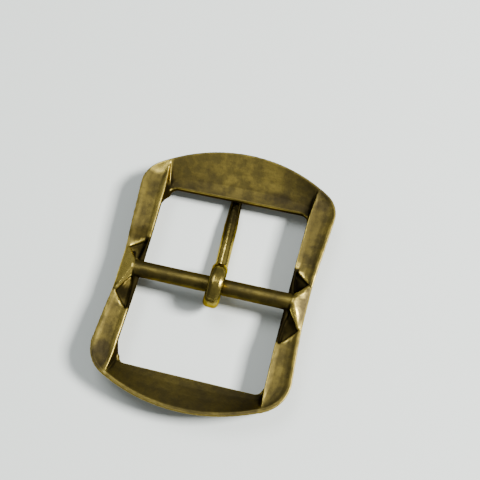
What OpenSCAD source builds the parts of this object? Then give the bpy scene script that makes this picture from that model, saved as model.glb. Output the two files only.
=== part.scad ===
// Centre-bar pin buckle: a one-piece cast frame with two windows and a round centre bar,
// and a loose tongue whose loop turns on that bar. Stored lying on its front, back upward.
// Millimetres. +Z up, +Y towards the tongue's tip, X along the centre bar.

/* [Window] */
// clear width between the two side bars beside the centre bar
window_width = 25.05; // [24.9:0.05:25.2]
// how much each side bar's inner edge leans outward, mm per mm
window_lean = 0.018; // [0.012:0.002:0.026]
// bar axis to the straight edge of the end bar at the wide end
tip_window = 16.25; // [16.1:0.05:16.4]
// bar axis to the straight edge of the end bar at the narrow end
heel_window = 15.75; // [15.6:0.05:15.9]
// radius of the fillets low in the window corners
corner_fillet = 1.3; // [1.2:0.1:1.5]

/* [Outline] */
// bar axis to the outer edge at the wide end, where the tongue's tip lies
tip_end_reach = 24.2; // [24.0:0.05:24.4]
// bar axis to the outer edge at the narrow end
heel_end_reach = 21.75; // [21.6:0.05:21.9]
// radius of the shallow arc that the wide end follows
tip_arc_radius = 27.0; // [26.5:0.1:27.6]
// radius of the shallower arc that the narrow end follows
heel_arc_radius = 31.0; // [30.4:0.1:31.6]
// outer width at the waist beside the centre bar
waist_width = 32.4; // [32.2:0.1:32.6]
// length of the straight waist on the side of the wide end
tip_waist = 3.1; // [2.9:0.05:3.4]
// length of the straight waist on the side of the narrow end
heel_waist = 4.1; // [3.8:0.05:4.3]
// outward lean of the sides towards the wide end, mm per mm
tip_lean = 0.076; // [0.07:0.001:0.082]
// outward lean of the sides towards the narrow end, mm per mm
heel_lean = 0.068; // [0.062:0.001:0.074]
// radius of the two outer corners at the wide end
tip_corner = 4.8; // [4.5:0.1:5.1]
// radius of the two outer corners at the narrow end
heel_corner = 5.6; // [5.3:0.1:5.9]

/* [Heights] */
// height of the narrow rim above the surface the buckle lies on
rim_height = 6.0; // [5.95:0.01:6.1]
// width of the flat land along the rim of the side bars
rim_land = 0.7; // [0.6:0.05:0.8]
// width of that land along the wide end
tip_land = 0.45; // [0.4:0.05:0.55]
// width of that land along the narrow end
heel_land = 0.8; // [0.7:0.05:0.9]
// how far the end-bar panels drop from the rim to the window edge
end_drop = 2.05; // [1.9:0.05:2.15]
// how far the side-bar panels drop from the rim to the window edge
side_drop = 0.12; // [0.08:0.02:0.2]
// how deep the side-bar panels are dished between their two edges
side_dish = 0.3; // [0.2:0.05:0.4]
// thickness of the end bars at the window edge
end_edge = 1.25; // [1.1:0.05:1.3]
// how much the rim dips at the waist
waist_dip = 0.25; // [0.2:0.01:0.3]

/* [Centre bar] */
// diameter of the round centre bar
bar_diameter = 2.8; // [2.7:0.05:2.9]
// height of the bar's top above the rim
bar_rise = 0.83; // [0.75:0.01:0.9]
// distance from the centre line to the crest where bar and ridges meet
crest_reach = 14.1; // [14.0:0.05:14.2]
// where the sunken facet beside the bar begins, towards the wide end
tip_hollow = 5.4; // [5.3:0.05:5.5]
// where the sunken facet beside the bar begins, towards the narrow end
heel_hollow = 7.4; // [7.3:0.05:7.5]
// depth of those facets below the rim at their far corner
hollow_depth = 1.7; // [1.6:0.05:1.8]
// radius of the rounded ridges where they leave the bar
ridge_root = 0.9; // [0.85:0.05:0.95]
// radius of those ridges where they meet the rim
ridge_end = 0.4; // [0.35:0.05:0.45]

/* [Tongue] */
// gap all round between the bar and the tongue's loop
loop_clearance = 0.06; // [0.04:0.01:0.09]
// thickness of the loop round the bar
loop_thickness = 2.3; // [2.2:0.05:2.35]
// width of the loop along the bar
loop_width = 2.65; // [2.5:0.05:2.8]
// angle by which the hand-bent loop leans on the bar
loop_lean = 12; // [8:0.5:13]
// angle left open below the loop's free end
loop_opening = 14; // [12:1:16]
// diameter of the shaft where it leaves the loop
shaft_diameter = 2.1; // [2:0.05:2.2]
// diameter of the shaft at its fullest, two thirds of the way along
full_diameter = 2.35; // [2.25:0.05:2.4]
// diameter of the shaft at the start of the rounded tip
tip_diameter = 1.8; // [1.7:0.05:1.85]
// distance from the bar's axis to the end of the tip
tongue_reach = 19.8; // [19.4:0.1:20]
// angle by which the shaft slopes down to the surface
tongue_slope = 5.7; // [5.5:0.05:5.8]
// angle by which the shaft points left of square to the bar
tongue_turn = 3.6; // [2:0.1:5]
// where the tongue sits along the bar, right of the middle
tongue_offset = 0.5; // [-2:0.1:2]

/* [Hidden] */
$fn = 96;
brass = [0.48, 0.39, 0.17];
brass_worn = [0.58, 0.48, 0.22];

xi = window_width / 2;
H = rim_height;
xo = waist_width / 2;
bar_r = bar_diameter / 2;
bar_z = H + bar_rise - bar_r;
bar_y = (heel_end_reach - tip_end_reach) / 2;

// one row per end: direction, outer reach, lean, window edge, waist, sunken facet,
// arc radius, corner radius, land width
tip_end = [1, tip_end_reach, tip_lean, tip_window, tip_waist, tip_hollow,
    tip_arc_radius, tip_corner, tip_land];
heel_end = [-1, heel_end_reach, heel_lean, heel_window, heel_waist, heel_hollow,
    heel_arc_radius, heel_corner, heel_land];
function e_dir(e) = e[0];
function e_reach(e) = e[1];
function e_lean(e) = e[2];
function e_window(e) = e[3];
function e_waist(e) = e[4];
function e_hollow(e) = e[5];
function e_arc(e) = e[6];
function e_corner(e) = e[7];
function e_land(e) = e[8];

function clamp(v) = max(0, min(1, v));
function ease(v) = let (c = clamp(v)) c * c * (3 - 2 * c);
function mix(a, b, t) = a + (b - a) * t;
function unit(v) = v / norm(v);

// centre of the end arc and of the corner arc, with y measured towards that end
function arc_y(e) = e_reach(e) - e_arc(e);
function side_x(e, y) = xo + e_lean(e) * max(0, y - e_waist(e));
function corner_line(e) = xo - e_lean(e) * e_waist(e) - e_corner(e) * sqrt(1 + pow(e_lean(e), 2));
// solves (a + m y)^2 + (y - c)^2 = (arc - corner)^2 for the corner centre
function corner_y(e) = let (a = corner_line(e), m = e_lean(e), c = arc_y(e),
    qa = 1 + m * m, qb = 2 * (a * m - c), qc = a * a + c * c - pow(e_arc(e) - e_corner(e), 2))
    (-qb + sqrt(qb * qb - 4 * qa * qc)) / (2 * qa);
function corner_x(e) = corner_line(e) + e_lean(e) * corner_y(e);
function arc_end_angle(e) = atan2(corner_x(e), corner_y(e) - arc_y(e));
function corner_start_angle(e) = arc_end_angle(e);
function corner_stop_angle(e) = 90 + atan(e_lean(e));

// inner edge of a side bar
function in_x(y) = xi + window_lean * max(0, y - 6) + 0.07 * max(0, y - 15);
function lip_t(e, y) = clamp((e_hollow(e) - y) / (e_hollow(e) - 1.4));
function lip_x(e, y) = in_x(y) + 0.5 * lip_t(e, y);

// the outline near one end, as [x, y, normal x, normal y], from the panel edge to the waist
function x_join(e) = in_x(e_dir(e) > 0 ? 20 : 18) + 0.3;
function join_angle(e) = asin(x_join(e) / e_arc(e));
function on_arc(e, a) = [e_arc(e) * sin(a), arc_y(e) + e_arc(e) * cos(a), sin(a), cos(a)];
function on_corner(e, a) = [corner_x(e) + e_corner(e) * sin(a), corner_y(e) + e_corner(e) * cos(a),
    sin(a), cos(a)];
function on_side(e, y) = let (m = y > e_waist(e) ? e_lean(e) : 0)
    [side_x(e, y), y, 1 / sqrt(1 + m * m), -m / sqrt(1 + m * m)];
function stations(e) = let (h = e_hollow(e), w = e_waist(e))
    [12.6, 11, 9.5, 8.3, (8.3 + h) / 2, h, mix(h, w, 0.33), mix(h, w, 0.67), w];
function outline(e) = concat(
    [for (i = [0:3]) on_arc(e, mix(join_angle(e), arc_end_angle(e), i / 4))],
    [for (i = [0:9]) on_corner(e, mix(corner_start_angle(e), corner_stop_angle(e), i / 9))],
    [for (y = stations(e)) on_side(e, y)]);

// inner line of a side bar: y for each outline point of one end
function land_y(e) = on_arc(e, join_angle(e))[1] - e_land(e) * cos(join_angle(e));
function land_w(e, y) = mix(rim_land, e_land(e), ease((y - 13) / 5));
function inner_y(e, i) = i < 14 ? mix(land_y(e) - 0.06, e_dir(e) > 0 ? 14.2 : 12.9,
    pow(i / 13, 0.92)) : stations(e)[i - 14];

// height rules shared by both ends, with y measured from the bar
function rim_z(e, y) = H - waist_dip * (1 - ease((y - e_waist(e)) / 4.2));
function foot_z(y) = 1.25 * ease((y - 8.5) / 6.5);
function wall_foot(y) = mix(3.0, 2.15, ease((y - 9) / 6));

// panel height between window edge and rim: t runs 0 to 1, slightly hollow
function panel(t) = pow(t, 1.22);
panel_steps = [0.3, 0.6, 0.85];

// how far the wall under a side bar's inner edge leans in at its foot
function wall_lean(e, y) = let (w = e_dir(e) > 0 ? 0.55 : 0.25) y > e_window(e)
    ? w * clamp((land_y(e) - y) / (land_y(e) - e_window(e)))
    : mix(w, 0.06, clamp((e_window(e) - 0.6 - y) / 2));

// closed section of a side bar at outline point p with its inner line at iy
function side_section(e, p, iy) = let (
    lw = land_w(e, p[1]),
    land = [p[0], p[1]] - lw * [p[2], p[3]],
    top = [lip_x(e, iy), iy],
    w = norm(land - top),
    zr = rim_z(e, p[1]),
    zt = zr - 0.06 - side_drop * clamp(w / 2.5),
    dish = side_dish * clamp((w - 0.5) / 2.2),
    deep = ease((norm(land - top) - 0.05) / 2.1),
    zf = mix(H - 1.5, foot_z(min(p[1], iy)), deep),
    zw = mix(H - 1.25, wall_foot(p[1]), deep),
    k = clamp((e_window(e) - 1 - iy) / 2.2),
    zb = mix(H - 1.1, mix(2.45, H - 0.8, k), deep),
    base = [in_x(iy) - wall_lean(e, iy), iy],
    out = [p[0], p[1]], n = [p[2], p[3]],
    span = out - base, run = norm(span), q = clamp(run / 3.6) / run)
    concat(
        [[top[0], top[1], zt]],
        [for (t = panel_steps) let (m = mix(top, land, t))
            [m[0], m[1], mix(zt, zr - 0.06, t) - dish * 4 * t * (1 - t)]],
        [[land[0], land[1], zr - 0.06]],
        [for (o = [[lw - 0.12, 0], [0.12, 0], [0, -0.12]])
            [out[0] - o[0] * n[0], out[1] - o[0] * n[1], zr + o[1]]],
        [for (o = [[1 - 0.18 * q, zr - 0.6], [1 - 0.6 * q, mix(zr, zw, 0.6)], [1 - 1.1 * q, zw],
            [0.6, mix(zf, zw, 0.3)], [0.48, zf],
            [mix(0.3, 0.4, k), zf], [mix(0.06, 0.22, k), mix(zf, zb, mix(0.3, 0.5, k))]])
            [base[0] + span[0] * o[0], base[1] + span[1] * o[0], o[1]]],
        [[base[0], base[1], zb]]);

// closed section of an end bar at angle a on its arc, drawn in by d inside a side bar
function end_section(e, a, d) = let (
    q0 = on_arc(e, a),
    p = [q0[0] - d * q0[2], q0[1] - d * q0[3], q0[2], q0[3]],
    lw = e_land(e),
    land = [p[0] - lw * p[2], p[1] - lw * p[3]],
    H = rim_height - d,
    z0 = H - end_drop,
    ramp = z0 - end_edge + 2 * d,
    yw = e_window(e) + d,
    zw = wall_foot(20) + 12 * d)
    concat(
        [[p[0], yw, z0]],
        [for (t = panel_steps) let (q = mix([p[0], yw], land, t))
            [q[0], q[1], mix(z0, H - 0.06, panel(t))]],
        [[land[0], land[1], H - 0.06]],
        [for (o = [[lw - 0.12, 0], [0.12, 0], [0, -0.12]])
            [p[0] - o[0] * p[2], p[1] - o[0] * p[3], H + o[1]]],
        [for (o = [[0.18, H - 0.6], [0.6, mix(H, zw, 0.6)], [1.1, zw]])
            [p[0], p[1] - o[0], o[1]]],
        [for (o = [[0.6, zw - 0.4], [0.5, ramp], [0.25, ramp]])
            [p[0], mix(yw, p[1], o[0]), o[1]]],
        [[p[0], yw, ramp]]);

// skins a list of closed sections, all with the same number of points
function skin_points(s) = [for (r = s) each r];
function skin_faces(s) = let (n = len(s), m = len(s[0])) concat(
    [for (i = [0:n - 2], j = [0:m - 1]) let (a = i * m + j, b = i * m + (j + 1) % m)
        [a, b, b + m]],
    [for (i = [0:n - 2], j = [0:m - 1]) let (a = i * m + j, b = i * m + (j + 1) % m)
        [a, b + m, a + m]],
    [for (j = [1:m - 2]) [0, j + 1, j]],
    [for (j = [1:m - 2]) [(n - 1) * m, (n - 1) * m + j, (n - 1) * m + j + 1]]);
module skin(s) polyhedron(skin_points(s), skin_faces(s), convexity = 6);

// right side bar, from the wide end's corner to the narrow end's corner
function flip(s, d) = [for (q = s) [q[0], d * q[1], q[2]]];
function buried(s) = [for (q = s) [q[0] - 0.45, q[1] + 0.12, q[2] + (q[2] > 3 ? -0.3 : 0.15)]];
function half_side(e) = let (o = outline(e))
    concat([buried(side_section(e, o[0], inner_y(e, 0)))],
        [for (i = [0:len(o) - 1]) side_section(e, o[i], inner_y(e, i))]);
function mid_section(e, y) = flip(side_section(e, [xo, y, 1, 0], y), e_dir(e));
function reversed(s) = [for (i = [len(s) - 1:-1:0]) s[i]];
module side_bar() {
    skin(concat(
        half_side(tip_end),
        [for (y = [2.2, 1.2]) mid_section(tip_end, y)],
        [mid_section(tip_end, 0)],
        [for (y = [1.2, 2.7]) mid_section(heel_end, y)],
        [for (s = reversed(half_side(heel_end))) flip(s, -1)]));
}

module end_bar(e) {
    w = join_angle(e);
    s = concat([end_section(e, -w - 0.9, 0.12)],
        [for (i = [-12:12]) end_section(e, w * i / 12, 0)],
        [end_section(e, w + 0.9, 0.12)]);
    mirror([0, e_dir(e) > 0 ? 0 : 1, 0]) skin(s);
}

// everything above the sunken facet beside the bar, down to the plane through three corners;
// a narrow lip is left standing along the window
module hollow(e) {
    a = [xi, e_hollow(e), H - hollow_depth];
    b = [xi + 1, 1.3, H - 1.1];
    c = [xo - 0.3, e_waist(e), H - 0.7];
    n = unit(cross(b - a, c - a));
    intersection() {
        translate([0, 0, 1.5]) linear_extrude(height = 7)
            polygon([[xo - 0.3, e_waist(e) + 0.12], [xi + 0.34, e_hollow(e) + 0.1],
                [xi + 0.5, mix(e_hollow(e), 0.6, 0.45)], [xi + 1.1, 0.6],
                [crest_reach + 0.2, 0.6], [xo - 0.3, e_waist(e) - 0.4]]);
        translate(a) rotate([0, acos(n[2]), atan2(n[1], n[0])]) translate([-9, -9, 0]) cube([18, 18, 6]);
    }
}

// slope of the flat triangular face at the waist, from the crest down to the rim
face_slope = (bar_rise + waist_dip) / (xo - crest_reach);
function face_z(x) = H + bar_rise - face_slope * (x - crest_reach);

// rounded ridge from the crest out to the rim, just under the plane of the triangular face
module ridge(e) {
    n = unit([face_slope, 0, 1]);
    a = [crest_reach + 0.05, 0.15, face_z(crest_reach + 0.05)] - (ridge_root + 0.01) * n;
    x1 = xo - ridge_end - 0.04;
    b = [x1, e_waist(e) - 0.1, face_z(x1)] - (ridge_end + 0.01) * n;
    v = b - a;
    translate(a) sphere(r = ridge_root);
    translate(b) sphere(r = ridge_end);
    translate(a) rotate([0, acos(v[2] / norm(v)), atan2(v[1], v[0])])
        cylinder(r1 = ridge_root, r2 = ridge_end, h = norm(v));
}

// everything outside the flat triangular face at the waist is cut away
module waist_cut() {
    translate([0, tip_waist + 0.6, 0]) rotate([90, 0, 0])
        linear_extrude(height = tip_waist + heel_waist + 1.2)
            polygon([[crest_reach - 0.8, face_z(crest_reach - 0.8)], [xo + 2, face_z(xo + 2)],
                [xo + 2, H + 4], [crest_reach - 0.8, H + 4]]);
}

module junction_block() {
    translate([0, 0, H - 1]) linear_extrude(height = bar_rise + 1)
        polygon([[crest_reach - 0.6, 0], [crest_reach, -0.5], [xo - 0.12, -heel_waist],
            [xo - 0.12, tip_waist], [crest_reach, 0.5]]);
}

// concave fillet low in a window corner
module window_fillet(e) {
    r = corner_fillet;
    x = in_x(e_window(e)) - 0.5;
    translate([x - r, e_window(e) - r, 2.65]) linear_extrude(height = H - end_drop - 0.12 - 2.65)
        difference() {
            square(r + 0.2);
            circle(r = r);
        }
}

module right_side() {
    difference() {
        union() {
            difference() {
                side_bar();
                hollow(tip_end);
                mirror([0, 1, 0]) hollow(heel_end);
            }
            junction_block();
            ridge(tip_end);
            mirror([0, 1, 0]) ridge(heel_end);
            translate([crest_reach - 0.75, 0, bar_z]) sphere(r = bar_r);
            window_fillet(tip_end);
            mirror([0, 1, 0]) window_fillet(heel_end);
        }
        waist_cut();
    }
}

module frame() {
    color(brass) translate([0, bar_y, 0]) {
        right_side();
        mirror([1, 0, 0]) right_side();
        end_bar(tip_end);
        end_bar(heel_end);
        translate([0.75 - crest_reach, 0, bar_z]) rotate([0, 90, 0])
            cylinder(r = bar_r, h = 2 * crest_reach - 1.5);
    }
}

// the tongue lies along +Y in its own frame, with the bar's axis at its origin
loop_in = bar_r + loop_clearance;
loop_out = loop_in + loop_thickness;
shaft_drop = loop_in + loop_thickness / 2;
function loop_profile() = let (c = 0.62, w = loop_width / 2)
    [[loop_in, -w + 0.25], [loop_in, w - 0.25], [loop_in + 0.25, w], [loop_out - c, w],
    [loop_out - 0.18, w - 0.5 * c], [loop_out, w - 1.25 * c], [loop_out, -w + 1.25 * c],
    [loop_out - 0.18, -w + 0.5 * c], [loop_out - c, -w], [loop_in + 0.25, -w]];

// the loop's band between two angles, measured from the tip side over the top
module band(from, to) {
    rotate([0, 90, 0]) rotate([0, 0, 90 + from]) rotate_extrude(angle = to - from) polygon(loop_profile());
}

module tongue() {
    tip_r = tip_diameter / 2;
    run = tongue_reach - tip_r;
    full = 0.66 * run;
    mid = (loop_in + loop_out) / 2;
    color(brass_worn) translate([tongue_offset, bar_y, bar_z]) difference() {
        union() {
            // loop, leaning on the bar, with a rounded free end above the shaft
            rotate([0, loop_lean, 0]) rotate([-tongue_slope, 0, 0]) {
                band(0, 270);
                intersection() {
                    band(-loop_opening, 1);
                    translate([0, mid, 0.15]) rotate([0, 90, 0])
                        cylinder(r = loop_thickness / 2 + 0.03, h = 9, center = true);
                    translate([0, 0, 0.2]) rotate([-90, 0, 0]) cylinder(r = loop_width / 2, h = 9);
                }
            }
            // straight shaft, fullest beyond its middle, with a rounded tip
            rotate([0, 0, tongue_turn]) rotate([-tongue_slope, 0, 0])
                translate([-loop_out * sin(loop_lean) * 0.35, 0, -shaft_drop]) rotate([-90, 0, 0]) {
                    cylinder(r1 = shaft_diameter / 2, r2 = full_diameter / 2, h = full);
                    translate([0, 0, full]) cylinder(r1 = full_diameter / 2, r2 = tip_r, h = run - full);
                    translate([0, 0, run]) sphere(r = tip_r);
                }
        }
        rotate([0, 90, 0]) cylinder(r = loop_in, h = loop_width + 4, center = true);
    }
}

frame();
tongue();
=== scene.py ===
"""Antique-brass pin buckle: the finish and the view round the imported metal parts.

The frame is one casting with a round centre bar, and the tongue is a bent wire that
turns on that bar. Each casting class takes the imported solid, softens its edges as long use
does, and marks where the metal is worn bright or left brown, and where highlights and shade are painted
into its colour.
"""

import logging
from dataclasses import dataclass, field
from enum import Enum

import bmesh
import bpy
import numpy as np
from mathutils import Matrix, Vector

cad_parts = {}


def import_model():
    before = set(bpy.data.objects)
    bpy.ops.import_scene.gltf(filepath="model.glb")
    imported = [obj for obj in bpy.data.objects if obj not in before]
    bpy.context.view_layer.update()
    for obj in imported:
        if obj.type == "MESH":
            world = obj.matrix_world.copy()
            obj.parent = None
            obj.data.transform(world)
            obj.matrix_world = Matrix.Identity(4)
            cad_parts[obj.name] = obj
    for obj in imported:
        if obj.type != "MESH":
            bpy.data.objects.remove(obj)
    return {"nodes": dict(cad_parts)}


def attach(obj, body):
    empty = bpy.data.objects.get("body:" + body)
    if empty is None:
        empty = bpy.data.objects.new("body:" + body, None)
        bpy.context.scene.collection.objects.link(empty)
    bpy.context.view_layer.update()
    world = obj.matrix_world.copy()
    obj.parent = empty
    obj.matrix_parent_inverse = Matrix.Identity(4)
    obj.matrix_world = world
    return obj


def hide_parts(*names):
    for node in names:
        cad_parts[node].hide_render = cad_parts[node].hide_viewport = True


LOG = logging.getLogger("pin_buckle")
MM = 0.001

# The centre bar's place along the buckle and the height of the rim, in millimetres
BAR_Y = -1.225
RIM_HEIGHT = 6.0

Colour = tuple[float, float, float, float]
Point = tuple[float, float, float]
Socket = bpy.types.NodeSocket


class Mark(Enum):
    """The painted marks that a brass finish reads from a mesh: worn metal with painted highlights, painted
    shade in the recesses, and browning that is partly painted shade.
    """

    # Metal worn bright, and painted highlights where the lamp falls
    RUBBED = "rubbed"
    # Painted shade: recesses, creases and shaded walls go near black
    SUNKEN = "sunken"
    # Brown patches, and painted shade on panels and facets
    TARNISH = "tarnish"


@dataclass(frozen=True)
class NodeKit:
    """Places shader nodes in one material and joins them."""

    tree: bpy.types.NodeTree

    def add(self, kind: str, **values: object) -> bpy.types.Node:
        """Adds one node and sets its properties and input values.

        Args:
            kind: Blender's name for the node type.
            **values: Properties or input sockets by name.

        Returns:
            The new node.
        """
        node = self.tree.nodes.new(kind)
        for key, value in values.items():
            if hasattr(node, key):
                setattr(node, key, value)
            else:
                node.inputs[key].default_value = value
        return node

    def join(self, out: Socket, into: Socket) -> None:
        """Links an output socket to an input socket."""
        self.tree.links.new(out, into)

    def mark(self, name: Mark) -> Socket:
        """The value of a painted mark, 0 to 1."""
        return self.add("ShaderNodeAttribute", attribute_name=name.value).outputs["Fac"]

    def noise(self, where: Socket, scale: float, detail: float, rough: float) -> Socket:
        """A noise pattern on the given coordinates.

        Args:
            where: The coordinates that the pattern follows.
            scale: Pattern repeats per metre.
            detail: Octaves of finer noise.
            rough: How strong those octaves are.

        Returns:
            The pattern's value.
        """
        node = self.add("ShaderNodeTexNoise", Scale=scale, Detail=detail, Roughness=rough)
        self.join(where, node.inputs["Vector"])
        return node.outputs["Fac"]

    def band(self, value: Socket, low: float, high: float, a: float = 0.0, b: float = 1.0) -> Socket:
        """Stretches one part of a value's range, smoothly and held at both ends.

        Args:
            value: The value to stretch.
            low: Where the part starts.
            high: Where the part ends.
            a: The result at low.
            b: The result at high.

        Returns:
            The stretched value.
        """
        node = self.add("ShaderNodeMapRange", interpolation_type="SMOOTHSTEP")
        for key, number in (("From Min", low), ("From Max", high), ("To Min", a), ("To Max", b)):
            node.inputs[key].default_value = number
        self.join(value, node.inputs["Value"])
        return node.outputs["Result"]

    def sums(self, kind: str, a: Socket, b: Socket | float) -> Socket:
        """One arithmetic step on two values, held between 0 and 1.

        Args:
            kind: Blender's name for the operation.
            a: First value.
            b: Second value, as a socket or a fixed number.

        Returns:
            The result.
        """
        node = self.add("ShaderNodeMath", operation=kind, use_clamp=True)
        self.join(a, node.inputs[0])
        if isinstance(b, float):
            node.inputs[1].default_value = b
        else:
            self.join(b, node.inputs[1])
        return node.outputs[0]

    def blend(self, amount: Socket, a: Socket | Colour, b: Socket | Colour) -> Socket:
        """Mixes two colours by an amount.

        Args:
            amount: 0 gives a, 1 gives b.
            a: First colour, as a socket or a fixed colour.
            b: Second colour.

        Returns:
            The mixed colour.
        """
        node = self.add("ShaderNodeMix", data_type="RGBA", clamp_factor=True)
        self.join(amount, node.inputs[0])
        for socket, value in ((node.inputs[6], a), (node.inputs[7], b)):
            if isinstance(value, tuple):
                socket.default_value = value
            else:
                self.join(value, socket)
        return node.outputs[2]

    def bump(self, height: Socket, strength: float, depth: float) -> bpy.types.Node:
        """A bump over a height pattern.

        Args:
            height: The pattern, 0 to 1.
            strength: How much of the bump shows, 0 to 1.
            depth: The pattern's full depth, in metres.

        Returns:
            The bump node.
        """
        node = self.add("ShaderNodeBump", Strength=strength, Distance=depth)
        self.join(height, node.inputs["Height"])
        return node


@dataclass(frozen=True)
class AntiqueBrass:
    """Cast brass under a brown patina, worn bright along its edges, with painted highlights on lit spots
    and painted shade that darkens its recesses and some faces.

    Scales are pattern repeats per metre, and depths are metres.
    """

    name: str
    # bright is for worn metal and painted highlights; umber is for brown patches and painted shade; the
    # near-black last colour is painted shade in the recesses
    bright: Colour = (0.78, 0.60, 0.14, 1.0)
    gold: Colour = (0.135, 0.103, 0.024, 1.0)
    olive: Colour = (0.070, 0.055, 0.016, 1.0)
    umber: Colour = (0.028, 0.022, 0.011, 1.0)
    edge: Colour = (0.58, 0.47, 0.19, 1.0)
    shade_black: Colour = (0.004, 0.003, 0.0015, 1.0)
    patch_scale: float = 150.0
    cloud_scale: float = 465.0
    speck_scale: float = 1500.0
    patch_share: float = 0.34
    speck_share: float = 0.4
    polish: float = 0.18
    dull: float = 0.52
    sunken_dullness: float = 0.3
    pit_depth: float = 0.00004
    dent_depth: float = 0.00012

    def build(self) -> bpy.types.Material:
        """Makes the material.

        Returns:
            A material whose colour, roughness and bump follow the marks and the patina's noise.
        """
        material = bpy.data.materials.new(self.name)
        material.use_nodes = True
        kit = NodeKit(material.node_tree)
        shader = material.node_tree.nodes["Principled BSDF"]
        shader.inputs["Metallic"].default_value = 1.0
        shader.inputs["Specular Tint"].default_value = self.edge
        where = kit.add("ShaderNodeTexCoord").outputs["Object"]

        patches = kit.noise(where, self.patch_scale, 3.0, 0.55)
        clouds = kit.noise(where, self.cloud_scale, 5.0, 0.62)
        specks = kit.noise(where, self.speck_scale, 4.0, 0.7)
        rubbed, sunken, tarnish = (kit.mark(mark) for mark in Mark)

        colour = kit.blend(kit.band(clouds, 0.36, 0.66), self.olive, self.gold)
        brown = kit.sums("MULTIPLY", kit.band(patches, 0.5, 0.68), self.patch_share)
        colour = kit.blend(brown, colour, self.umber)
        freckles = kit.sums("MULTIPLY", kit.band(specks, 0.58, 0.72), self.speck_share)
        colour = kit.blend(freckles, colour, self.umber)
        # Brown patches and painted shade, mixed towards umber
        brown_and_shade_mix = kit.sums("MULTIPLY", tarnish, kit.band(clouds, 0.2, 0.6, 1.0, 0.8))
        colour = kit.blend(brown_and_shade_mix, colour, self.umber)
        # Worn metal and painted highlights, mixed towards the bright colour
        worn_and_sheen = kit.sums("MULTIPLY", rubbed, kit.band(specks, 0.3, 0.62, 1.0, 0.6))
        colour = kit.blend(worn_and_sheen, colour, self.bright)
        # Painted shade: the recesses and shaded walls go near black
        colour = kit.blend(sunken, colour, self.shade_black)
        kit.join(colour, shader.inputs["Base Color"])

        matt = kit.band(clouds, 0.3, 0.7, self.dull, self.dull - 0.1)
        matt = kit.sums("SUBTRACT", matt, kit.sums("MULTIPLY", worn_and_sheen, self.dull - self.polish))
        matt = kit.sums("ADD", matt, kit.sums("MULTIPLY", sunken, self.sunken_dullness))
        kit.join(matt, shader.inputs["Roughness"])

        pits = kit.bump(specks, 0.35, self.pit_depth)
        dents = kit.bump(clouds, 0.5, self.dent_depth)
        kit.join(pits.outputs["Normal"], dents.inputs["Normal"])
        kit.join(dents.outputs["Normal"], shader.inputs["Normal"])
        return material


def step(values: np.ndarray, low: float | np.ndarray, high: float | np.ndarray) -> np.ndarray:
    """A smooth step from 0 at low to 1 at high."""
    t = np.clip((values - low) / (high - low), 0.0, 1.0)
    return t * t * (3.0 - 2.0 * t)


def past(values: np.ndarray, start: float | np.ndarray, soft: float | np.ndarray) -> np.ndarray:
    """0 up to a start, rising smoothly to 1 over a soft stretch beyond it."""
    return step(values, start, start + soft)


def short_of(values: np.ndarray, end: float | np.ndarray, soft: float) -> np.ndarray:
    """1 well short of an end, falling smoothly to 0 over the soft stretch before it."""
    return step(end - values, 0.0, soft)


def strongest(*marks: np.ndarray) -> np.ndarray:
    """The strongest of several marks at each point."""
    return np.maximum.reduce(marks)


@dataclass
class Relief:
    """The points of a mesh, and how far each stands proud of, or sinks below, its surroundings."""

    points: np.ndarray
    normals: np.ndarray
    edges: np.ndarray

    @classmethod
    def of(cls, mesh: bpy.types.Mesh) -> "Relief":
        """Reads the arrays of a mesh.

        Args:
            mesh: The mesh to read.

        Returns:
            The relief reader.
        """
        count = len(mesh.vertices)
        points = np.empty(count * 3, np.float32)
        mesh.vertices.foreach_get("co", points)
        normals = np.empty(count * 3, np.float32)
        mesh.vertex_normals.foreach_get("vector", normals)
        edges = np.empty(len(mesh.edges) * 2, np.int32)
        mesh.edges.foreach_get("vertices", edges)
        points, normals = (flat.reshape(-1, 3).astype(float) for flat in (points, normals))
        return cls(points, normals, edges.reshape(-1, 2))

    def spread(self, values: np.ndarray, rounds: int) -> np.ndarray:
        """Averages values with their neighbours'.

        Args:
            values: One number or row of numbers per point.
            rounds: How many times to average.

        Returns:
            The averaged values.
        """
        a, b = self.edges[:, 0], self.edges[:, 1]
        count = len(self.points)
        shares = np.bincount(a, minlength=count) + np.bincount(b, minlength=count)
        flat = values.reshape(count, -1)
        for _ in range(rounds):
            total = np.empty_like(flat)
            for k in range(flat.shape[1]):
                total[:, k] = np.bincount(a, flat[b, k], count) + np.bincount(b, flat[a, k], count)
            flat = 0.5 * flat + 0.5 * total / np.maximum(shares, 1)[:, None]
        return flat.reshape(values.shape)

    def height(self, rounds: int) -> np.ndarray:
        """How far each point stands above the surface smoothed so many times, in millimetres."""
        return ((self.points - self.spread(self.points, rounds)) * self.normals).sum(1) / MM


@dataclass
class Spots:
    """Where a casting's points lie, in millimetres from the centre bar, and how they face."""

    relief: Relief
    x: np.ndarray
    y: np.ndarray
    z: np.ndarray
    fine: np.ndarray

    @classmethod
    def of(cls, mesh: bpy.types.Mesh, bar_y: float) -> "Spots":
        """Reads the points of a mesh.

        Args:
            mesh: The mesh to read.
            bar_y: The centre bar's place along the buckle, in millimetres.

        Returns:
            The points, with the fine relief of each.
        """
        relief = Relief.of(mesh)
        x, y, z = (relief.points / MM).T
        return cls(relief, x, y - bar_y, z, relief.height(8))

    @property
    def across(self) -> np.ndarray:
        """Distance from the buckle's middle line."""
        return np.abs(self.x)

    @property
    def along(self) -> np.ndarray:
        """Distance from the centre bar, towards either end."""
        return np.abs(self.y)

    @property
    def right(self) -> np.ndarray:
        """True on the right half."""
        return self.x > 0.0

    @property
    def tipward(self) -> np.ndarray:
        """True on the half that the tongue's tip lies in."""
        return self.y > 0.0

    @property
    def up(self) -> np.ndarray:
        """How far the surface faces up, -1 to 1."""
        return self.relief.normals[:, 2]

    @property
    def inward(self) -> np.ndarray:
        """How far the surface faces the middle line, -1 to 1."""
        return -self.relief.normals[:, 0] * np.sign(self.x)


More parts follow.
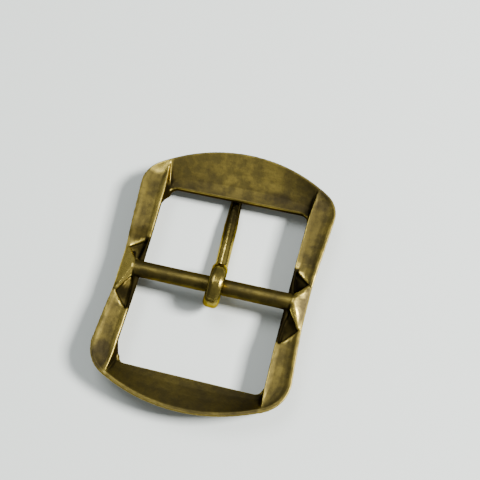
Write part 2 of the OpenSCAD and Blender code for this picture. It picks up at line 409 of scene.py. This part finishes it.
@dataclass(frozen=True)
class Patch:
    """A soft round patch on the casting, in millimetres from the centre bar's middle."""

    at_x: float
    at_y: float
    half: float
    tall: float
    soft: float = 0.55

    def on(self, spots: Spots) -> np.ndarray:
        """How strong the patch is at each point, 0 to 1."""
        away = np.hypot((spots.x - self.at_x) / self.half, (spots.y - self.at_y) / self.tall)
        return step(1.0 - away, 0.0, self.soft)


@dataclass
class Casting:
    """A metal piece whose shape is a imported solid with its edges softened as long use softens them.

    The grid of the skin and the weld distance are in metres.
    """

    packed: dict[str, bpy.types.Object]
    node: str
    body: str
    name: str
    slot: str
    grid: float
    soften: int
    share: float = 1.0
    weld: float = 0.002 * MM
    piece: bpy.types.Object = field(init=False)

    def build(self) -> bpy.types.Object:
        """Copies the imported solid, welds it, rounds its edges and lets it ride on its body.

        Returns:
            The finished mesh object.
        """
        mesh = self.packed[self.node].data.copy()
        mesh.name = self.name
        mesh.materials.clear()
        shape = bmesh.new()
        shape.from_mesh(mesh)
        bmesh.ops.remove_doubles(shape, verts=shape.verts, dist=self.weld)
        shape.to_mesh(mesh)
        shape.free()
        self.piece = bpy.data.objects.new(self.name, mesh)
        bpy.context.scene.collection.objects.link(self.piece)
        self._round()
        self.piece.data.shade_smooth()
        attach(self.piece, self.body)
        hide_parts(self.node)
        return self.piece

    def _round(self) -> None:
        """Rebuilds the skin on an even grid, smooths it and thins it."""
        skin = self.piece.modifiers.new("skin", "REMESH")
        skin.mode = "VOXEL"
        skin.voxel_size = self.grid
        skin.adaptivity = 0.0
        smooth = self.piece.modifiers.new("smooth", "SMOOTH")
        smooth.factor = 0.5
        smooth.iterations = self.soften
        if self.share < 1.0:
            thin = self.piece.modifiers.new("thin", "DECIMATE")
            thin.ratio = self.share
        self._apply()

    def _apply(self) -> None:
        """Makes the modified mesh the piece's own mesh."""
        graph = bpy.context.evaluated_depsgraph_get()
        done = bpy.data.meshes.new_from_object(self.piece.evaluated_get(graph))
        self.piece.modifiers.clear()
        old = self.piece.data
        self.piece.data = done
        done.name = self.name
        bpy.data.meshes.remove(old)

    def paint(self, mark: Mark, values: np.ndarray) -> None:
        """Stores a mark on the mesh's points.

        Args:
            mark: Which mark to store.
            values: One number per point, 0 to 1.
        """
        layer = self.piece.data.attributes.new(mark.value, "FLOAT", "POINT")
        layer.data.foreach_set("value", np.clip(values, 0.0, 1.0).astype(np.float32))

    def dress(self, finish: AntiqueBrass) -> None:
        """Gives the piece its finish."""
        self.piece.data.materials.clear()
        self.piece.data.materials.append(finish.build())


@dataclass
class BuckleFrame(Casting):
    """The cast frame with its rim, sloped panels, corner steps and round centre bar.

    Sizes are in millimetres, and those along the buckle are measured from the centre bar.
    """

    bar_y: float = BAR_Y
    rim_height: float = RIM_HEIGHT
    window_half: float = 12.6
    tip_window: float = 16.25
    heel_window: float = 15.75
    side_inner: float = 12.4
    waist_half: float = 6.0
    tip_valley: float = 5.4
    heel_valley: float = 7.2
    # A painted highlight at the upper left corner, painted shade on the ledge by the upper left valley, a
    # painted dark reflection at the upper right corner, and two darker patches
    corner_highlight: Patch = Patch(-14.9, 19.2, 2.4, 2.0)
    dark_ledge: Patch = Patch(-14.3, 6.0, 3.0, 1.9)
    brown_end: Patch = Patch(6.3, 18.0, 3.2, 1.4)
    corner_reflection: Patch = Patch(14.4, 17.6, 1.6, 1.3)
    brown_heel: Patch = Patch(-14.6, -15.6, 2.4, 3.0)

    def weather(self) -> None:
        """Marks the worn edges with the painted highlights, the painted shade in the recesses, and the
        brown patches and painted shade on duller stretches.
        """
        spots = Spots.of(self.piece.data, self.bar_y)
        wall = self._wall(spots)
        # Painted highlight on the wall at the upper left corner, which faces the lamp; that wall is kept
        # out of the painted shade
        lit = wall * ~spots.right * past(spots.y, self.tip_window - 0.3, 0.9) * past(spots.z, 4.0, 0.6)
        lip = self._lip(spots)
        ledge = self.dark_ledge.on(spots)
        self.paint(Mark.RUBBED, self._worn_bright_and_lit(spots, lit, ledge) * (1.0 - lip))
        self.paint(Mark.SUNKEN, self._sunken(spots, wall, lip, ledge) * (1.0 - lit))
        self.paint(Mark.TARNISH, self._brown_and_shade(spots))
        LOG.info("frame marked: %d points", len(spots.x))

    def _worn_bright_and_lit(self, spots: Spots, lit: np.ndarray, ledge: np.ndarray) -> np.ndarray:
        """How far the brass is worn bright or carries a painted highlight.

        Args:
            spots: The frame's points.
            lit: The painted highlight on the wall at the upper left corner.
            ledge: The painted shade on the ledge over the upper left valley, where no edge is worn bright.

        Returns:
            The mark at each point, 0 to 1.
        """
        waist = self._waist(spots)
        worn_and_sheen = (0.4 + 0.6 * waist) * (1.0 - 0.6 * self._bar(spots))
        worn_and_sheen *= (1.0 - 0.7 * past(spots.y, 15.0, 5.0)) * (1.0 - 0.35 * past(spots.x, 15.0, 0.6))
        edges = past(spots.fine, 0.008, 0.026) * worn_and_sheen * (1.0 - ledge)
        # Inner edges of the side panels are worn bright, more on the left as a painted highlight where the
        # lamp lights them
        inner = self._shelf(spots) * short_of(spots.across, self.window_half + 0.95, 0.6)
        inner *= np.where(spots.right, 0.05, 0.25)
        # Painted highlight at the upper left corner, which faces the lamp
        gold = self.corner_highlight.on(spots) * past(spots.up, 0.2, 0.5)
        # Painted light on the left outer facet by the bar, which the lamp leaves in shade
        face = waist * ~spots.right * past(spots.across, 13.4, 0.6)
        face *= short_of(spots.along, 3.6, 0.8) * past(spots.up, 0.25, 0.35)
        # The ridges by the bar's ends are worn bright, which also paints highlights on them
        return strongest(edges, inner, 0.95 * lit, 0.5 * gold, 0.9 * face, 0.9 * self._crest(spots))

    def _sunken(self, spots: Spots, wall: np.ndarray, lip: np.ndarray, ledge: np.ndarray) -> np.ndarray:
        """How black the painted shade is in recesses and on shaded walls.

        Args:
            spots: The frame's points.
            wall: The walls of the side bars that face the windows.
            lip: The narrow lip between a valley and its window.
            ledge: The painted shade on the ledge over the upper left valley.

        Returns:
            The mark at each point, 0 to 1.
        """
        # Painted shade in corners, creases and small hollows
        back = past(spots.z, 2.0, 1.4)
        corner = past(-spots.relief.height(80), 0.012, 0.078) * back * (1.0 - 0.9 * self._shelf(spots))
        depth = past(-spots.fine, 0.004, 0.016) * back
        # Painted shade on the window-facing walls below the rim
        below = wall * short_of(spots.z, self.rim_height - 0.35, 0.3)
        # Painted shade on the lower inner wall of the wide end bar
        end_face = past(-spots.relief.normals[:, 1], 0.45, 0.35) * past(spots.y, self.tip_window - 1.0, 0.4)
        end_face *= short_of(spots.y, self.tip_window + 0.5, 0.2) * short_of(spots.z, 3.75, 0.25)
        hollows = strongest(0.85 * corner, 0.6 * depth, self._valley(spots), 0.6 * ledge)
        return strongest(hollows, 0.85 * below, 0.9 * lip, 0.8 * end_face)

    def _brown_and_shade(self, spots: Spots) -> np.ndarray:
        """How brown the stretches are, from darker patches and bar tone and from painted shade.

        Args:
            spots: The frame's points.

        Returns:
            The mark at each point, 0 to 1.
        """
        between = 1.0 - self._beside(spots)
        # Painted shade on the wide end panel, darkest near its window and towards the right
        tip_panel = past(spots.y, self.tip_window - 0.2, 0.3) * between
        tip_panel *= (
            0.7 * short_of(spots.y, self.tip_window + 3.2, 3.0)
            + 0.45 * past(spots.x, 5.0, 6.5)
            + 0.15 * past(-spots.x, 7.0, 5.0)
        )
        # Painted shade on the narrow end panel, more towards the right
        heel_panel = past(-spots.y, self.heel_window - 0.4, 0.6) * between
        heel_panel *= 0.45 + 0.5 * past(spots.x, 4.0, 7.0)
        # Painted shade on the right outer facet by the bar, which faces the lamp
        face = past(spots.x, 14.4, 0.4) * short_of(spots.along, 3.4, 0.8) * past(spots.up, 0.25, 0.35)
        # Painted shade on the side panels, set differently on each side and end
        start = np.where(spots.right, 12.4, 13.4)
        soft = np.where(spots.right, 0.5, 0.8)
        panel = self._shelf(spots) * past(spots.across, start, soft) * short_of(spots.across, 16.2, 0.9)
        panel *= np.where(spots.right, np.where(spots.tipward, 0.65, 0.45), 0.55)
        # Darker patches; the one at the upper right corner is a painted dark reflection
        patches = self.brown_end.on(spots) + self.corner_reflection.on(spots) + 1.5 * self.brown_heel.on(spots)
        patches *= 0.65 * past(spots.up, 0.2, 0.4)
        return tip_panel + heel_panel + 0.95 * face + panel + patches + 0.4 * self._bar(spots)

    def _beside(self, spots: Spots) -> np.ndarray:
        """The side bars' full length, outside the windows' width."""
        return past(spots.across, self.window_half - 0.1, 0.4)

    def _shelf(self, spots: Spots) -> np.ndarray:
        """The sloped panels of the side bars, past the valleys."""
        return past(spots.along, 5.0, 2.0) * self._beside(spots) * past(spots.up, 0.3, 0.6)

    def _waist(self, spots: Spots) -> np.ndarray:
        """The side bars beside the centre bar."""
        return short_of(spots.along, self.waist_half, 1.0) * past(spots.across, self.side_inner, 0.4)

    def _bar(self, spots: Spots) -> np.ndarray:
        """The round centre bar."""
        return short_of(spots.along, 1.9, 0.4) * short_of(spots.across, 12.8, 0.4)

    def _wall(self, spots: Spots) -> np.ndarray:
        """The walls of the side bars that face the windows."""
        near = past(spots.across, 11.0, 0.5) * short_of(spots.across, self.window_half + 0.9, 0.3)
        return past(spots.inward, 0.35, 0.45) * near

    def _lip(self, spots: Spots) -> np.ndarray:
        """The narrow lip between a valley and its window, which is painted in shade.

        Args:
            spots: The frame's points.

        Returns:
            How far each point lies on a lip, 0 to 1.
        """
        end = np.where(spots.tipward, 6.2, 7.5)
        stretch = past(spots.along, 0.9, 0.5) * short_of(spots.along, end, 0.6)
        return stretch * past(spots.across, 11.8, 0.3) * short_of(spots.across, 13.5, 0.2)

    def _crest(self, spots: Spots) -> np.ndarray:
        """The rounded ridges that run from the centre bar's ends out to the rim.

        Args:
            spots: The frame's points.

        Returns:
            How far each point lies on a ridge, 0 to 1.
        """
        raised = past(spots.relief.height(32), -0.01, 0.06) * past(spots.z, 4.6, 0.6)
        stretch = past(spots.along, 0.8, 0.8) * short_of(spots.along, 7.2, 0.8)
        width = past(spots.across, self.side_inner, 0.5) * short_of(spots.across, 15.5, 0.5)
        return raised * stretch * width

    def _valley(self, spots: Spots) -> np.ndarray:
        """How black the painted shade on the sunken facets beside the bar is, darker on the tip side.

        Args:
            spots: The frame's points.

        Returns:
            The mark at each point, 0 to 1.
        """
        away = spots.across - self.side_inner
        reach = np.where(spots.tipward, self.tip_valley, self.heel_valley)
        span = reach * (1.0 - 0.16 * away)
        inside = past(away, 0.0, 0.3) * short_of(away, 3.5, 0.5) * past(spots.along, 1.3, 0.7)
        inside *= past(span - spots.along, -0.1, 0.5)
        low = short_of(spots.z, self.rim_height - 0.45, 0.35) * past(spots.z, 3.0, 0.6)
        return inside * low * np.where(spots.tipward, 1.0, 0.75)


@dataclass
class BuckleTongue(Casting):
    """The bent-wire tongue: a loop round the centre bar, a shaft and a tip.

    Sizes along the tongue are in millimetres from the centre bar.
    """

    bar_y: float = BAR_Y
    loop_end: float = 5.0
    # Where the painted highlight on the shaft fades, and where the painted shadow under the wide end bar
    # begins
    shaft_highlight_end: float = 10.5
    shadow_start: float = 9.5

    def weather(self) -> None:
        """Marks the worn loop with painted shade on its left side, a painted highlight on the shaft, and a
        painted shadow under the wide end bar.
        """
        spots = Spots.of(self.piece.data, self.bar_y)
        loop = short_of(spots.y, self.loop_end, 1.5)
        # The side facing away from the lamp
        left = past(-spots.relief.normals[:, 0], -0.35, 0.65)
        # The loop is worn bright, less on its left side as painted shade; the shaft near the loop gets a
        # painted highlight
        worn_and_lit = (0.42 - 0.3 * left) * loop + 0.75 * short_of(spots.y, self.shaft_highlight_end, 3.0) * (1.0 - loop)
        self.paint(Mark.RUBBED, strongest(past(spots.fine, 0.004, 0.026), worn_and_lit))
        # Painted shade in the tongue's creases
        self.paint(Mark.SUNKEN, 0.7 * past(-spots.fine, 0.004, 0.026))
        # Painted shadow under the wide end bar, and painted shade on the loop's left side
        self.paint(Mark.TARNISH, strongest(0.9 * past(spots.y, self.shadow_start, 5.5), 0.8 * left * loop))
        LOG.info("tongue marked: %d points", len(spots.x))


@dataclass(frozen=True)
class Lamp:
    """One soft square lamp that faces the buckle: its place and width in metres, and its power."""

    name: str
    place: Point
    size: float
    watts: float
    tint: Point

    def hang(self) -> None:
        """Puts the lamp in the scene."""
        data = bpy.data.lights.new(self.name, "AREA")
        data.shape = "SQUARE"
        data.size = self.size
        data.energy = self.watts
        data.color = self.tint
        lamp = bpy.data.objects.new(self.name, data)
        lamp.location = self.place
        lamp.rotation_euler = (-Vector(self.place)).to_track_quat("-Z", "Y").to_euler()
        bpy.context.scene.collection.objects.link(lamp)


@dataclass
class Studio:
    """A pale floor, soft lights and the photograph's camera.

    The camera's eye is in millimetres from the centre bar's middle at the rim's height.
    """

    bar_y: float = BAR_Y
    rim_height: float = RIM_HEIGHT
    eye: Point = (33.686, -47.715, 154.079)
    right: Point = (0.9611, 0.2571, -0.1006)
    forward: Point = (-0.1867, 0.3368, -0.9229)
    focal_px: float = 1001.0
    photo_px: int = 480
    sensor_mm: float = 36.0
    floor_half: float = 1.5
    floor_colour: Colour = (0.61, 0.65, 0.64, 1.0)
    sky: Colour = (0.85, 0.88, 0.87, 1.0)
    sky_strength: float = 0.36
    lamps: tuple[Lamp, ...] = (
        Lamp("key", (0.42, 0.045, 0.44), 0.13, 12.0, (1.0, 0.99, 0.95)),
        Lamp("top", (-0.12, 0.18, 0.7), 0.35, 3.0, (0.98, 1.0, 0.99)),
    )

    def floor(self) -> bpy.types.Object:
        """Makes the floor that the buckle lies on.

        Returns:
            The floor object.
        """
        shape = bmesh.new()
        bmesh.ops.create_grid(shape, x_segments=2, y_segments=2, size=self.floor_half)
        mesh = bpy.data.meshes.new("studio_floor")
        shape.to_mesh(mesh)
        shape.free()
        plain = bpy.data.materials.new("pale_floor")
        plain.use_nodes = True
        shader = plain.node_tree.nodes["Principled BSDF"]
        shader.inputs["Base Color"].default_value = self.floor_colour
        shader.inputs["Roughness"].default_value = 0.9
        mesh.materials.append(plain)
        sheet = bpy.data.objects.new("studio_floor", mesh)
        bpy.context.scene.collection.objects.link(sheet)
        return sheet

    def lights(self) -> None:
        """Hangs the lamps and sets the soft surrounding light."""
        world = bpy.data.worlds.new("studio")
        world.use_nodes = True
        sky = world.node_tree.nodes["Background"]
        sky.inputs["Color"].default_value = self.sky
        sky.inputs["Strength"].default_value = self.sky_strength
        bpy.context.scene.world = world
        for lamp in self.lamps:
            lamp.hang()

    def camera(self) -> bpy.types.Object:
        """Places the camera where the photograph was taken from.

        Returns:
            The camera object.
        """
        data = bpy.data.cameras.new("photo_view")
        data.sensor_width = self.sensor_mm
        data.lens = self.sensor_mm * self.focal_px / self.photo_px
        data.clip_start = 0.01
        data.clip_end = 10.0
        camera = bpy.data.objects.new("photo_view", data)
        back = -Vector(self.forward).normalized()
        up = back.cross(Vector(self.right)).normalized()
        right = up.cross(back).normalized()
        turn = Matrix((right, up, back)).transposed().to_4x4()
        place = Vector(self.eye) + Vector((0.0, self.bar_y, self.rim_height))
        camera.matrix_world = Matrix.Translation(place * MM) @ turn
        bpy.context.scene.collection.objects.link(camera)
        bpy.context.scene.camera = camera
        return camera


def main() -> None:
    """Builds the buckle and its studio."""
    logging.basicConfig(level=logging.INFO, format="%(name)s: %(message)s")
    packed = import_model()["nodes"]
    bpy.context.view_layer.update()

    frame = BuckleFrame(
        packed, "frame", "frame", "buckle_frame", "antique_brass", grid=0.12 * MM, soften=7, share=0.4
    )
    frame.build()
    frame.weather()
    frame.dress(AntiqueBrass("antique_brass"))
    LOG.info("built %s", frame.name)

    tongue = BuckleTongue(
        packed, "tongue", "tongue", "buckle_tongue", "antique_brass_tongue", grid=0.09 * MM, soften=6
    )
    tongue.build()
    tongue.weather()
    tongue.dress(AntiqueBrass("antique_brass_tongue", polish=0.13, dull=0.3))
    LOG.info("built %s", tongue.name)

    studio = Studio()
    studio.floor()
    studio.lights()
    studio.camera()
    LOG.info("studio ready")


if __name__ == "__main__":
    main()
